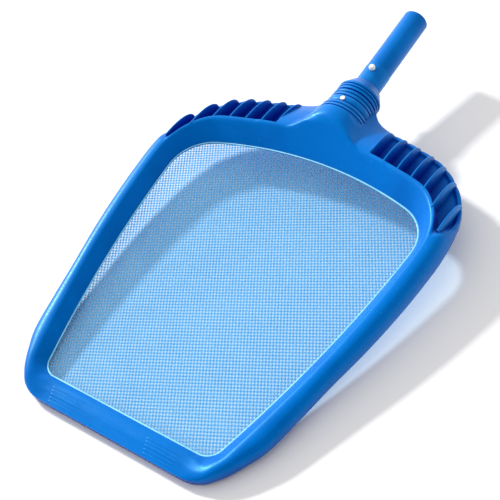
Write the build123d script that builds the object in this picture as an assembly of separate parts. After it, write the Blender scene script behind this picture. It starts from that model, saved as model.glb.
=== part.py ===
from build123d import *
import math
import os

# Leaf skimmer net. Millimetres. +X is the width, +Y runs from the front lip to the handle, +Z is up.
# The origin is the middle of the whole part's box in X and Y, at its lowest point in Z.
# Shapes are made from the net's front edge, with heights from the net's top, and moved at the end.

# Driving dimensions: the net's opening, seen from above.
NET_Y = -257.57
OPENING_FRONT_HALF = 98.3
OPENING_REAR_HALF = 146.3
OPENING_SIDE_LENGTH = 297.3
OPENING_LENGTH = 326.8
OPENING_SIDE_BULGE = 9.0
OPENING_FRONT_RADIUS = 18.0
OPENING_REAR_RADIUS = 45.0

# Frame: outer rim, crest and lip. Heights are measured from the net.
RIM_FRONT_HALF = 121.5
RIM_REAR_HALF = 175.0
RIM_FRONT = -8.0
RIM_SIDE_END = 350.0
RIM_REAR = 393.5
RIM_SIDE_BULGE = 11.5
RIM_FRONT_RADIUS = 30.0
RIM_REAR_RADIUS = 62.0
RIM_HEIGHT = 1.0
UNDERSIDE = -7.5
SHOULDER_HEIGHT = 8.0
SHOULDER_INSET = 3.5
CREST_HEIGHT = 19.0
CREST_FRONT_HALF = 112.0
CREST_REAR_HALF = 164.0
CREST_SIDE_END = 318.0
CREST_REAR = 351.0
CREST_REAR_RADIUS = 52.0
RAIL_FRONT_HEIGHT = 9.5
RAIL_FULL_HEIGHT_Y = 300.0
LIP_FRONT = -25.0
LIP_HALF = 103.0
LIP_RADIUS = 21.0
LIP_HEIGHT = 3.0
LIP_FRONT_HEIGHT = 1.8
LIP_SLOPE_START = -13.0
LIP_INNER_HALF = 88.0
LIP_EAR_HEIGHT = 5.5
LIP_RIDGE_COUNT = 4
LIP_RIDGE_START = 4.5
LIP_RIDGE_PITCH = 3.6
LIP_RIDGE_WIDTH = 1.0
LIP_RIDGE_HEIGHT = 0.5
LIP_RIDGE_INNER = 36.0
LIP_RIDGE_OUTER = 76.0
OPENING_LAND = 0.8

# Seat under the frame for the net, its hem and the retaining ring.
SEAT_WIDTH = 11.5
HEM_INSIDE = 2.0
HEM_WIDTH = 6.8
HEM_THICKNESS = 0.6
NET_THICKNESS = 0.6
RING_WIDTH = 11.0
RING_THICKNESS = 2.5
SCREW_OFFSET = 7.5
SCREW_RADIUS = 1.5
SCREW_PILOT_RADIUS = 1.5
SCREW_HOLE_RADIUS = 1.8
SCREW_LENGTH = 5.2
SCREW_PILOT_DEPTH = 1.8
SCREW_HEAD_RADIUS = 3.0
SCREW_HEAD_HEIGHT = 1.8

# Rear bank of open pockets, seven each side of the neck.
POCKET_COUNT = 7
POCKET_START = 55.5
POCKET_PITCH = 17.5
RIB_THICKNESS = 2.4
POCKET_FLOOR = 3.0
POCKET_RIM_WIDTH = 4.0
POCKET_CORNER_HALF = 176.0
CREST_BOW = 0.0018
CREST_BAND = 4.0
HOLLOW_CEILING = -1.2
HOLLOW_WALL = 3.0

# Neck, spigot and clip share one axis, which rises towards the handle's tip.
SPIGOT_RISE = 2.3
AXIS_Y = 433.0
AXIS_Z = 8.0
NECK_START = -58.5
NECK_STEPS = [(-58.5, 29.0), (-46.0, 26.6), (-28.3, 24.5), (-15.4, 24.5), (-4.2, 17.5)]
NECK_GROOVE = 1.0
SPIGOT_RADIUS = 14.4
SPIGOT_TIP_RADIUS = 14.0
SPIGOT_STEP_Y = 22.0
SPIGOT_BORE = 11.9
SPIGOT_IN_NECK = 52.0
SPIGOT_TIP = 106.7
FIT_GAP = 0.05
SADDLE_HALF = 52.0
SADDLE_OVERLAP = 5.0
SADDLE_SET_IN = 1.2
PIN_Y = -42.8
PIN_RADIUS = 2.0
PIN_HEAD_RADIUS = 2.7
PIN_HEAD_HEIGHT = 1.0
PIN_TOP = 26.9
PIN_RECESS = 0.6
PIN_HEAD_GAP = 0.2

# Snap clip: two nylon buttons on a folded spring leaf inside the spigot.
BUTTON_Y = 14.5
BUTTON_RADIUS = 3.4
BUTTON_HOLE_GAP = 0.25
BUTTON_PROUD = 3.8
BUTTON_FLANGE_RADIUS = 4.6
BUTTON_FLANGE = 1.2
BUTTON_SEAT = 10.6
SPRING_WIDTH = 8.0
SPRING_LEAF = 0.5
SPRING_BEND_Y = -24.0
SPRING_BEND_HALF = 3.2

# Lowest point of the part: the underside of the neck's first step.
NET_Z = NECK_STEPS[0][1] - AXIS_Z - NECK_START * math.sin(math.radians(SPIGOT_RISE))


def outline(front_half, rear_half, front, side_end, rear, bulge, front_radius, rear_radius):
    """A face in the net's plane: straight front, bowed sides, arched rear, rounded corners."""
    side_x = (front_half + rear_half) / 2
    side_y = (front + side_end) / 2
    lean = math.hypot(rear_half - front_half, side_end - front)
    out_x = (side_end - front) / lean * bulge
    out_y = (rear_half - front_half) / lean * bulge
    edges = [
        Line((-front_half, front), (front_half, front)),
        ThreePointArc((front_half, front), (side_x + out_x, side_y - out_y), (rear_half, side_end)),
        ThreePointArc((rear_half, side_end), (0, rear), (-rear_half, side_end)),
        ThreePointArc((-rear_half, side_end), (-side_x - out_x, side_y - out_y), (-front_half, front)),
    ]
    face = make_face(edges)
    corners = face.vertices().sort_by(Axis.Y)
    face = fillet(corners[0:2], front_radius)
    return fillet(face.vertices().sort_by(Axis.Y)[-2:], rear_radius)


def opening(grow=0.0):
    """The net's opening, grown outwards by the given width."""
    return outline(
        OPENING_FRONT_HALF + grow,
        OPENING_REAR_HALF + grow,
        -grow,
        OPENING_SIDE_LENGTH + grow * 0.8,
        OPENING_LENGTH + grow,
        OPENING_SIDE_BULGE,
        OPENING_FRONT_RADIUS + grow,
        OPENING_REAR_RADIUS + grow,
    )


def rim_outline(inset=0.0):
    return outline(
        RIM_FRONT_HALF - inset,
        RIM_REAR_HALF - inset,
        RIM_FRONT + inset,
        RIM_SIDE_END - inset,
        RIM_REAR - inset,
        RIM_SIDE_BULGE,
        RIM_FRONT_RADIUS - inset,
        RIM_REAR_RADIUS - inset,
    )


def crest_outline():
    return outline(
        CREST_FRONT_HALF,
        CREST_REAR_HALF,
        RIM_FRONT + 8,
        CREST_SIDE_END,
        CREST_REAR,
        RIM_SIDE_BULGE,
        RIM_FRONT_RADIUS,
        CREST_REAR_RADIUS,
    )


def slab(face, low, high):
    """The face, which lies in the net's plane, as a plate between two heights above the net."""
    return Pos(0, 0, low) * extrude(face, high - low)


def on_axis(shape):
    """Moves a shape made about the Y axis to the neck's own, rising axis."""
    return Pos(0, AXIS_Y, AXIS_Z) * Rot(SPIGOT_RISE, 0, 0) * shape


def rod(radius, start, end):
    """A cylinder along Y between two places."""
    return Pos(0, start, 0) * Rot(-90, 0, 0) * Cylinder(
        radius, end - start, align=(Align.CENTER, Align.CENTER, Align.MIN)
    )


def post(radius, low, high, y):
    """A cylinder along Z between two heights."""
    return Pos(0, y, low) * Cylinder(radius, high - low, align=(Align.CENTER, Align.CENTER, Align.MIN))


def block(x0, x1, y0, y1, z0, z1):
    return Pos((x0 + x1) / 2, (y0 + y1) / 2, (z0 + z1) / 2) * Box(x1 - x0, y1 - y0, z1 - z0)


def rail_top_cut():
    """What lies above the rails' tops, which rise from the lip to the crest."""
    slope = (CREST_HEIGHT - RAIL_FRONT_HEIGHT) / RAIL_FULL_HEIGHT_Y
    start = -60
    low = RAIL_FRONT_HEIGHT + slope * start
    profile = Polyline(
        (start, low), (RAIL_FULL_HEIGHT_Y, CREST_HEIGHT), (RAIL_FULL_HEIGHT_Y, 80), (start, 80), close=True
    )
    return extrude(Plane.YZ * make_face(profile), 200, both=True)


def pocket(x_low, x_high):
    """One open pocket between two ribs, deep behind the crest and shallow at the rim."""
    x = (x_low + x_high) / 2
    start = CREST_REAR - CREST_BOW * x**2
    profile = Polyline(
        (start, POCKET_FLOOR), (RIM_REAR, RIM_HEIGHT - 0.4), (RIM_REAR, 30), (start, 30), close=True
    )
    prism = Pos(x_low, 0, 0) * extrude(Plane.YZ * make_face(profile), x_high - x_low)
    prism = prism & slab(rim_outline(POCKET_RIM_WIDTH), 0, 30)
    return prism - slab(opening(CREST_HEIGHT - OPENING_LAND + CREST_BAND), 0, 30)


def pockets():
    """All the pockets of the rear bank: between the ribs, and one past the last rib at each corner."""
    cuts = []
    for index in range(POCKET_COUNT):
        low = POCKET_START + POCKET_PITCH * index + RIB_THICKNESS / 2
        high = POCKET_START + POCKET_PITCH * (index + 1) - RIB_THICKNESS / 2
        if index == POCKET_COUNT - 1:
            high = POCKET_CORNER_HALF
        cut = pocket(low, high)
        cuts.append(cut)
        cuts.append(mirror(cut, Plane.YZ))
    return cuts


def rim_y(x):
    """Where the rim's rear arch lies at a distance from the middle."""
    drop = RIM_REAR - RIM_SIDE_END
    arch = (RIM_REAR_HALF**2 + drop**2) / (2 * drop)
    return RIM_REAR - arch + math.sqrt(arch**2 - x**2)


def neck_outer():
    """The stepped neck as a turned body, with a groove at each step."""
    points = [(0, NECK_STEPS[0][0])]
    for place, radius in NECK_STEPS:
        points.append((radius, place))
    points.append((0, NECK_STEPS[-1][0]))
    turned = revolve(make_face(Polyline(points, close=True)), Axis.Y)
    for place, radius in NECK_STEPS[1:3]:
        ring = rod(radius + 3, place - 0.8, place + 0.8) - rod(radius - NECK_GROOVE, place - 0.8, place + 0.8)
        turned = turned - ring
    return on_axis(turned)


def saddle():
    """The neck's base: a wide low section at the crest that closes in to the neck's round end."""
    end = NECK_START + SADDLE_OVERLAP
    axis_z = AXIS_Z + end * math.sin(math.radians(SPIGOT_RISE))
    neck_y = AXIS_Y + end * math.cos(math.radians(SPIGOT_RISE))
    wide = Plane(origin=(0, CREST_REAR - 12, 4), x_dir=(1, 0, 0), z_dir=(0, 1, 0))
    middle = Plane(origin=(0, CREST_REAR + 8, 5), x_dir=(1, 0, 0), z_dir=(0, 1, 0))
    round_end = Plane(origin=(0, neck_y, axis_z), x_dir=(1, 0, 0), z_dir=(0, 1, 0))
    body = loft([
        wide * Ellipse(SADDLE_HALF, 19),
        middle * Ellipse(SADDLE_HALF * 0.7, 24.5),
        round_end * Circle(NECK_STEPS[0][1] - SADDLE_SET_IN),
    ])
    return body


def web():
    """The flat plate at rim height between the rim and the neck's sides."""
    half = 58
    corner = (half, rim_y(half) - 2)
    curve = ThreePointArc(corner, (36, 397), (24, 413))
    other = ThreePointArc((-24, 413), (-36, 397), (-corner[0], corner[1]))
    face = make_face([curve, Line((24, 413), (-24, 413)), other, Line((-corner[0], corner[1]), corner)])
    return slab(face, UNDERSIDE + 3, RIM_HEIGHT)


def screw_places():
    """Screw centres round the seat, evenly placed along each side."""
    places = []
    for x in (-66.0, 0.0, 66.0):
        places.append((x, -SCREW_OFFSET))
    for y in (38.0, 110.0, 182.0, 254.0):
        for side in (-1, 1):
            share = y / OPENING_SIDE_LENGTH
            bow = 4 * OPENING_SIDE_BULGE * share * (1 - share)
            half = OPENING_FRONT_HALF + (OPENING_REAR_HALF - OPENING_FRONT_HALF) * share + bow
            places.append((side * (half + SCREW_OFFSET), y))
    for x in (-92.0, -32.0, 32.0, 92.0):
        drop = OPENING_LENGTH - OPENING_SIDE_LENGTH
        arch = (OPENING_REAR_HALF**2 + drop**2) / (2 * drop)
        places.append((x, OPENING_LENGTH - arch + math.sqrt(arch**2 - x**2) + SCREW_OFFSET))
    return places


def at_screws(shape):
    return [Pos(x, y, 0) * shape for x, y in screw_places()]


def crown():
    """The rails and rear wall above the rim: a steep shoulder, then a flatter top up to the crest."""
    shoulder = Pos(0, 0, SHOULDER_HEIGHT) * rim_outline(SHOULDER_INSET)
    low = loft([Pos(0, 0, RIM_HEIGHT) * rim_outline(), shoulder])
    return low + loft([shoulder, Pos(0, 0, CREST_HEIGHT) * crest_outline()])


def lip():
    """The front lip, as high as the rails' ends at its sides before the grip face is cut."""
    back = 12
    plate = make_face(
        Polyline((-LIP_HALF, LIP_FRONT), (LIP_HALF, LIP_FRONT), (LIP_HALF, back), (-LIP_HALF, back), close=True)
    )
    plate = fillet(plate.vertices().sort_by(Axis.Y)[0:2], LIP_RADIUS)
    ears = Polyline(
        (LIP_FRONT - 1, LIP_EAR_HEIGHT), (back, RAIL_FRONT_HEIGHT), (back, 40), (LIP_FRONT - 1, 40), close=True
    )
    return slab(plate, UNDERSIDE, 20) - extrude(Plane.YZ * make_face(ears), 200, both=True)


def lip_clearing():
    """What is cleared above the lip between the rails' ends, whose inner faces lean outwards."""
    top = 40
    section = Polyline(
        (-LIP_INNER_HALF, LIP_HEIGHT), (LIP_INNER_HALF, LIP_HEIGHT),
        (LIP_INNER_HALF + top - LIP_HEIGHT, top), (-LIP_INNER_HALF - top + LIP_HEIGHT, top), close=True,
    )
    channel = Pos(0, 20, 0) * extrude(Plane.XZ * make_face(section), 80)
    slope = Polyline(
        (LIP_FRONT - 1, LIP_FRONT_HEIGHT), (LIP_FRONT, LIP_FRONT_HEIGHT), (LIP_SLOPE_START, LIP_HEIGHT),
        (LIP_SLOPE_START, LIP_HEIGHT + 1), (LIP_FRONT - 1, LIP_HEIGHT + 1), close=True,
    )
    return channel + extrude(Plane.YZ * make_face(slope), LIP_INNER_HALF, both=True)


def grip_ridges():
    """Two groups of fine ridges across the lip's sloping face."""
    ridges = []
    for index in range(LIP_RIDGE_COUNT):
        y = LIP_FRONT + LIP_RIDGE_START + index * LIP_RIDGE_PITCH
        rise = (LIP_HEIGHT - LIP_FRONT_HEIGHT) * (y - LIP_FRONT) / (LIP_SLOPE_START - LIP_FRONT)
        top = min(LIP_HEIGHT, LIP_FRONT_HEIGHT + rise) + LIP_RIDGE_HEIGHT
        half = LIP_RIDGE_WIDTH / 2
        ridges.append(block(LIP_RIDGE_INNER, LIP_RIDGE_OUTER, y - half, y + half, -1, top))
        ridges.append(block(-LIP_RIDGE_OUTER, -LIP_RIDGE_INNER, y - half, y + half, -1, top))
    return ridges


def rear_hollow():
    """The open underside of the rear bank, inside the rim's wall."""
    hollow = slab(rim_outline(HOLLOW_WALL), UNDERSIDE, HOLLOW_CEILING)
    hollow -= slab(opening(SEAT_WIDTH + HOLLOW_WALL), UNDERSIDE, HOLLOW_CEILING)
    hollow -= block(-250, 250, -60, 300, UNDERSIDE, HOLLOW_CEILING)
    return hollow - block(-40, 40, 300, 440, UNDERSIDE, HOLLOW_CEILING)


def basin():
    """The space above the net: a short upright land, then walls that lean outwards."""
    top = CREST_HEIGHT + 26
    leaning = loft([Pos(0, 0, OPENING_LAND) * opening(), Pos(0, 0, top) * opening(top - OPENING_LAND)])
    return slab(opening(), 0, OPENING_LAND + 1) + leaning


def frame():
    """The moulded frame: rails, lip, rear wall with pockets, and the stepped neck."""
    body = slab(rim_outline(), UNDERSIDE, RIM_HEIGHT)
    body += crown()
    body -= rail_top_cut()
    body += lip()
    body -= lip_clearing()
    for ridge in grip_ridges():
        body += ridge
    body += saddle()
    for cut in pockets():
        body -= cut
    body -= rear_hollow()
    body += web()
    body += neck_outer()
    body -= basin()
    body -= slab(opening(SEAT_WIDTH), -60, 0)
    body -= on_axis(rod(SPIGOT_RADIUS + FIT_GAP, -SPIGOT_IN_NECK - FIT_GAP, 10))
    body -= on_axis(post(PIN_RADIUS + FIT_GAP, 0, 40, PIN_Y))
    body -= on_axis(post(PIN_HEAD_RADIUS + PIN_HEAD_GAP, PIN_TOP - PIN_HEAD_HEIGHT - PIN_RECESS, 40, PIN_Y))
    for hole in at_screws(post(SCREW_PILOT_RADIUS, 0, SCREW_PILOT_DEPTH, 0)):
        body -= hole
    return body


def net_panel():
    """The stretched net, as a thin plate, reaching under the hem."""
    return slab(opening(HEM_WIDTH - HEM_INSIDE - 0.5), -HEM_THICKNESS - NET_THICKNESS, -HEM_THICKNESS)


def net_hem():
    """The band welded on the net's edge, mostly clamped under the frame."""
    band = slab(opening(HEM_WIDTH - HEM_INSIDE), -HEM_THICKNESS, 0)
    return band - slab(opening(-HEM_INSIDE), -HEM_THICKNESS, 0)


def retaining_ring():
    """The flat ring that is screwed up against the net's edge."""
    top = -HEM_THICKNESS - NET_THICKNESS
    ring = slab(opening(RING_WIDTH), top - RING_THICKNESS, top)
    ring -= slab(opening(0.5), top - RING_THICKNESS, top)
    for hole in at_screws(post(SCREW_HOLE_RADIUS, -10, 0, 0)):
        ring -= hole
    return ring


def retaining_screws():
    """One pan-head screw at each place, as a group."""
    seat = -HEM_THICKNESS - NET_THICKNESS - RING_THICKNESS
    shank = post(SCREW_RADIUS, seat, seat + SCREW_LENGTH, 0)
    head = post(SCREW_HEAD_RADIUS, seat - SCREW_HEAD_HEIGHT, seat, 0)
    return Compound(at_screws(shank + head))


def pole_spigot():
    """The round tube that the pole slides over, held in the neck."""
    tube = rod(SPIGOT_RADIUS, -SPIGOT_IN_NECK, SPIGOT_STEP_Y) + rod(SPIGOT_TIP_RADIUS, SPIGOT_STEP_Y, SPIGOT_TIP)
    tube = chamfer(tube.edges().sort_by(Axis.Y)[-1], 0.8)
    tube -= rod(SPIGOT_BORE, -SPIGOT_IN_NECK, SPIGOT_TIP)
    tube -= post(BUTTON_RADIUS + BUTTON_HOLE_GAP, -20, 20, BUTTON_Y)
    tube -= post(PIN_RADIUS + FIT_GAP, 0, 20, PIN_Y)
    return on_axis(tube)


def lock_pin():
    """The small pin through the neck's middle step into the spigot's wall."""
    seat = PIN_TOP - PIN_HEAD_HEIGHT - PIN_RECESS
    shank = post(PIN_RADIUS, SPIGOT_BORE - 1, seat, PIN_Y)
    head = post(PIN_HEAD_RADIUS, seat, PIN_TOP, PIN_Y)
    rounded = fillet(head.edges().sort_by(Axis.Z)[-1], 0.6)
    return on_axis(shank + rounded)


def snap_button(side):
    """One button: a domed stud with a flange that stops it inside the tube."""
    top = SPIGOT_RADIUS + BUTTON_PROUD
    stud = post(BUTTON_RADIUS, BUTTON_SEAT - BUTTON_FLANGE, top, BUTTON_Y)
    stud = fillet(stud.edges().sort_by(Axis.Z)[-1], BUTTON_RADIUS * 0.6)
    flange = post(BUTTON_FLANGE_RADIUS, BUTTON_SEAT - BUTTON_FLANGE, BUTTON_SEAT, BUTTON_Y)
    button = stud + flange
    if side < 0:
        button = mirror(button, Plane.XY)
    return on_axis(button)


def snap_spring():
    """The folded leaf that pushes both buttons outwards."""
    reach = BUTTON_SEAT - BUTTON_FLANGE - SPRING_LEAF / 2 - 0.05
    bend = SPRING_BEND_HALF
    tip = BUTTON_Y + 4
    outer = Polyline(
        (tip, reach), (BUTTON_Y - 5, reach), (SPRING_BEND_Y, bend), (SPRING_BEND_Y - bend, 0),
        (SPRING_BEND_Y, -bend), (BUTTON_Y - 5, -reach), (tip, -reach),
    )
    leaf = trace(outer, line_width=SPRING_LEAF)
    return on_axis(extrude(Plane.YZ * leaf, SPRING_WIDTH / 2, both=True))


def write(shape, name):
    """Moves a node from the net's own coordinates to the part's frame and saves it."""
    export_step(Pos(0, NET_Y, NET_Z) * shape, f"parts/{name}.step")


def main():
    os.makedirs("parts", exist_ok=True)
    write(frame(), "frame")
    write(net_panel(), "net_panel")
    write(net_hem(), "net_hem")
    write(retaining_ring(), "retaining_ring")
    write(retaining_screws(), "retaining_screws")
    write(pole_spigot(), "pole_spigot")
    write(lock_pin(), "lock_pin")
    write(snap_spring(), "snap_spring")
    write(snap_button(1), "upper_button")
    write(snap_button(-1), "lower_button")


main()
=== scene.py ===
import math

import bmesh
import bpy
import numpy as np
from mathutils import Euler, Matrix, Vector


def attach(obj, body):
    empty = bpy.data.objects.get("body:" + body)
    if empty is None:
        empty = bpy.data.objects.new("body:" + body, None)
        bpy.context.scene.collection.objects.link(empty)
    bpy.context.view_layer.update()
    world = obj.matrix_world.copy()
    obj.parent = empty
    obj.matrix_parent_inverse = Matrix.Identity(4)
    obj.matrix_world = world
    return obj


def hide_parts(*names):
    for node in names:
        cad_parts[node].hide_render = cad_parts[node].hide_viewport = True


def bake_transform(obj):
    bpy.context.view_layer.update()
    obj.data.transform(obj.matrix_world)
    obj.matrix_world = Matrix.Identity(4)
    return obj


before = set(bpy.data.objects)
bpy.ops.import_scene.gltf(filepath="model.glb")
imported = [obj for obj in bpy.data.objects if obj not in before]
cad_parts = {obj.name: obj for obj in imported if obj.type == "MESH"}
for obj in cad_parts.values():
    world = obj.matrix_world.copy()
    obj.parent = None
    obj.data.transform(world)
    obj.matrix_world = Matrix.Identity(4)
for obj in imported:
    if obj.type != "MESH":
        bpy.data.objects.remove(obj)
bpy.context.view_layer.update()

# Leaf skimmer net. Shapes are worked out in millimetres, with x across, y back from the net's front edge
# and z up from the ledge over the net. row() takes them into the row frame, in metres.
NET_Y = -257.57
NET_Z = 23.348

# Net opening: bowed sides, arched rear, rounded corners.
FRONT_HALF = 98.3
REAR_HALF = 146.3
SIDE_LENGTH = 297.3
SIDE_BULGE = 9.0
SIDE_FROM = 13.1
SIDE_TO = 263.5
CORNER_LAP = 0.1
CORNER_R = 18.0
CORNER_C = (84.7, 18.0)
CORNER_TURN = math.radians(74.2)
REAR_R = 45.0
REAR_C = (99.5, 266.55)
REAR_FROM = math.radians(-3.8)
REAR_TO = math.radians(72.6)
ARCH_R = 377.5
ARCH_C = -50.7

# Frame moulding: heights, walls and the rear bank of pockets.
UNDERSIDE = -7.5
SEAT = 11.5
WALL = 3.0
HOLLOW_CEILING = -1.2
LAND = 0.8
CREST = 19.0
RIM_TOP = 0.5
RIM_DROP = 0.8
RIM_ROUND = 1.4
RIM_BULGE_UP = 1.1
RIM_BULGE_OUT = 0.8
CREST_ROUND = 2.4
LIP_ROUND = 1.2
LIP_WIDTH_BELOW = 30
LIP_CREST_BELOW = 5
LIP_TUCK = 0.8
REAR_BANK_FROM_Y = 275
POCKET_FLOOR = 2.6
BOTTOM_ROUND = 0.9
STATION_STEP = 2.6

# Ribs of the rear bank.
RIB_START = 55.5
RIB_PITCH = 17.5
RIB_COUNT = 7
RIB_HALF_FOOT = 1.25
RIB_FOOT = -0.8
RIB_RIM = 0.4
RIB_TUCK_FRONT = 2.5
RIB_TUCK_REAR = 0.4
RIB_BELOW_CREST = 0.5
LAST_RIBS_X = 155.0
LAST_RIBS_START = 286.0
LAST_RIBS_TOP = 16.4

# Grip ridges of the lip.
GRIP_MIDDLE = 56.0
GRIP_HALF = 20.0
GRIP_FIRST_Y = -21.4
GRIP_PITCH = 3.2
GRIP_COUNT = 5
GRIP_HEIGHT = 0.3
LIP_HEIGHT = 3.0
LIP_FALL = 1.8
LIP_SLOPE_FROM = 14.2
LIP_SLOPE_LENGTH = 10.8

# Neck: its axis, and the saddle that joins it to the crest within a stretch of the rear wall.
AXIS_Y = 433.0
AXIS_Z = 8.0
RISE = math.radians(2.3)
SADDLE_FROM_Y = 325
SADDLE_REACH_X = 75
SADDLE_Y = 374.5
SADDLE_R = 29.0
SADDLE_END_R = 20.0
SADDLE_NARROWING = 1.2
SADDLE_Z = 5.65
SADDLE_FALL = 10.0
FLARE_LENGTH = 30.0
FLARE_WIDTH = 12.0
SADDLE_BLEND = 7.0

# Net, hem and fastenings.
NET_TOP = -0.6
NET_MIDDLE = (0.0, 165.0)
THREAD_ANGLES = (math.radians(25.0), math.radians(121.0))
THREAD_PITCHES = (3.4, 3.0)
THREAD_WIDTH = 1.6
THREAD_WAVE = 0.14
THREAD_CROWN = 0.16
THREAD_BELOW_TOP = 0.3
LINES_EACH_WAY = 85
NET_TUCK = 4.2
NET_CLEARNESS = 0.78
HEM_TUCK = 4.8
WELD_MARKS_APART = 3
WELD_DIP = 0.07
RING_UNDER = -3.7
SCREW_OFFSET = 7.5
SCREW_TURN = 0.9
BUTTON_Y = 14.5
PIN_Y = -42.8

# Folded leaf spring.
SPRING_WIDTH = 8.0
SPRING_LEAF = 0.5
SPRING_EDGE = 0.15
SPRING_FOLD_Y = -22.0
SPRING_TIP_Y = 9.0

# Camera: its place from the net's front edge, in millimetres, and its turn in degrees.
CAMERA_PLACE = (499.5, -235.2, 779.3)
CAMERA_TURN = (38.837, 12.052, 34.125)
CAMERA_LENS = 76.49

# Floor: a height at two places, (y, z), and its reach.
FLOOR_FRONT = (-25.0, -7.6)
FLOOR_REAR = (374.5, -38.5)
FLOOR_REACH = 6000

# Light.
KEY_WAY = Vector((-0.84, 0.2, 0.51))
KEY_DISTANCE = 8.0
KEY_SIZE = (1.05, 0.6)
KEY_POWER = 780.0
SKY_WAY = (-0.9, 0.35, 0.2)
SKY_LOW = 0.42
SKY_HIGH = 1.16
SKY_COLOUR = (1.0, 0.99, 0.985, 1.0)

# Plastics: painted shade for corners, crevices and pockets, two body tones, colour of rubbed edges.
FRAME_BLUES = ((0.0, 0.01, 0.28), (0.0, 0.1, 0.43), (0.0, 0.14, 0.54), (0.02, 0.4, 0.9))
SPIGOT_BLUES = ((0.0, 0.012, 0.28), (0.0, 0.105, 0.44), (0.0, 0.15, 0.56), (0.02, 0.36, 0.86))
RING_BLUES = ((0.0, 0.02, 0.22), (0.0, 0.09, 0.45), (0.0, 0.12, 0.56), (0.02, 0.26, 0.8))
GLOSS_TINT = (0.0, 0.72, 1.0)
# How far the occlusion test for the painted shade looks, in metres.
PAINTED_SHADE_REACH = 0.022


def row(points):
    """Millimetre points from the net's front edge, as metres in the row frame."""
    points = np.asarray(points, dtype=float)
    return (points + np.array([0.0, NET_Y, NET_Z])) / 1000.0


def on_axis(points):
    """Points made about the Y axis, moved to the neck's rising axis."""
    points = np.asarray(points, dtype=float)
    moved = points.copy()
    moved[:, 1] = AXIS_Y + points[:, 1] * math.cos(RISE) - points[:, 2] * math.sin(RISE)
    moved[:, 2] = AXIS_Z + points[:, 1] * math.sin(RISE) + points[:, 2] * math.cos(RISE)
    return moved


def make_object(name, points, faces, material, smooth_angle=35.0):
    """A mesh object from millimetre points, smooth except at edges sharper than the angle."""
    mesh = bpy.data.meshes.new(name)
    mesh.from_pydata([tuple(p) for p in row(points)], [], faces)
    mesh.validate()
    obj = bpy.data.objects.new(name, mesh)
    bpy.context.scene.collection.objects.link(obj)
    work = bmesh.new()
    work.from_mesh(mesh)
    bmesh.ops.remove_doubles(work, verts=work.verts, dist=1e-6)
    bmesh.ops.recalc_face_normals(work, faces=work.faces)
    limit = math.radians(smooth_angle)
    for edge in work.edges:
        edge.smooth = len(edge.link_faces) == 2 and edge.calc_face_angle(0.0) < limit
    for face in work.faces:
        face.smooth = True
    work.to_mesh(mesh)
    work.free()
    mesh.materials.append(material)
    return obj


def grid_faces(rows, columns, wrap_rows=False, wrap_columns=False):
    """Quads over a rows by columns grid of points, numbered row by row."""
    faces = []
    for r in range(rows if wrap_rows else rows - 1):
        for c in range(columns if wrap_columns else columns - 1):
            r2 = (r + 1) % rows
            c2 = (c + 1) % columns
            faces.append((r * columns + c, r * columns + c2, r2 * columns + c2, r2 * columns + c))
    return faces


def loft_faces(count, columns, first):
    """Faces of a closed tube of sections with its two end caps, numbered from first."""
    faces = [tuple(i + first for i in f) for f in grid_faces(count, columns, wrap_columns=True)]
    faces.append(tuple(first + c for c in range(columns)))
    faces.append(tuple(first + (count - 1) * columns + c for c in reversed(range(columns))))
    return faces


def ring_points(radius, count):
    """Points evenly spaced round a circle about the origin."""
    angles = [2 * math.pi * i / count for i in range(count)]
    return [(radius * math.cos(a), radius * math.sin(a)) for a in angles]


def path_lengths(points):
    """How far along a path each of its points lies."""
    return np.concatenate([[0.0], np.cumsum(np.hypot(*np.diff(points, axis=0).T))])


def spline(keys, places, count_between):
    """A Catmull-Rom curve through rows of keys at rising places; returns places and values."""
    keys = np.asarray(keys, dtype=float)
    places = np.asarray(places, dtype=float)
    slopes = np.zeros_like(keys)
    slopes[1:-1] = (keys[2:] - keys[:-2]) / (places[2:] - places[:-2])[:, None]
    slopes[0] = (keys[1] - keys[0]) / (places[1] - places[0])
    slopes[-1] = (keys[-1] - keys[-2]) / (places[-1] - places[-2])
    where = []
    values = []
    for i, count in enumerate(count_between):
        span = places[i + 1] - places[i]
        for s in np.linspace(0.0, 1.0, count, endpoint=False):
            from_start = (2 * s**3 - 3 * s**2 + 1) * keys[i] + (s**3 - 2 * s**2 + s) * span * slopes[i]
            from_end = (3 * s**2 - 2 * s**3) * keys[i + 1] + (s**3 - s**2) * span * slopes[i + 1]
            values.append(from_start + from_end)
            where.append(places[i] + s * span)
    values.append(keys[-1])
    where.append(places[-1])
    return np.array(where), np.array(values)


def smooth_step(value, low, high):
    """0 below low, 1 above high, and an even S-curve between."""
    share = min(1.0, max(0.0, (value - low) / (high - low)))
    return share * share * (3 - 2 * share)


def smooth_min(a, b, width):
    """The lower of two heights, rounded where they cross."""
    return (a + b - math.sqrt((a - b) ** 2 + width**2)) / 2


def smooth_max(a, b, width):
    """The higher of two heights, rounded where they cross."""
    return (a + b + math.sqrt((a - b) ** 2 + width**2)) / 2


def side_x(y):
    """Half the opening's width at a place on its bowed side."""
    share = y / SIDE_LENGTH
    return FRONT_HALF + (REAR_HALF - FRONT_HALF) * share + 4 * SIDE_BULGE * share * (1 - share)


def arc(centre, radius, start, end, count):
    """Points along an arc, both ends included."""
    angles = np.linspace(start, end, count)
    return [(centre[0] + radius * math.cos(a), centre[1] + radius * math.sin(a)) for a in angles]


def half_opening():
    """Half of the net's opening, from the front middle round to the rear middle."""
    points = [(x, 0.0) for x in np.linspace(0, CORNER_C[0], 20, endpoint=False)]
    points += arc(CORNER_C, CORNER_R, -math.pi / 2, -math.pi / 2 + CORNER_TURN, 30)[:-1]
    points += [(side_x(y), y) for y in np.linspace(SIDE_FROM, SIDE_TO, 90, endpoint=False)]
    points += arc(REAR_C, REAR_R, REAR_FROM, REAR_TO, 50)[:-1]
    points += arc((0.0, ARCH_C), ARCH_R, REAR_TO, math.pi / 2, 60)
    return np.array(points)


HALF = half_opening()
ALONG = path_lengths(HALF)


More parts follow.
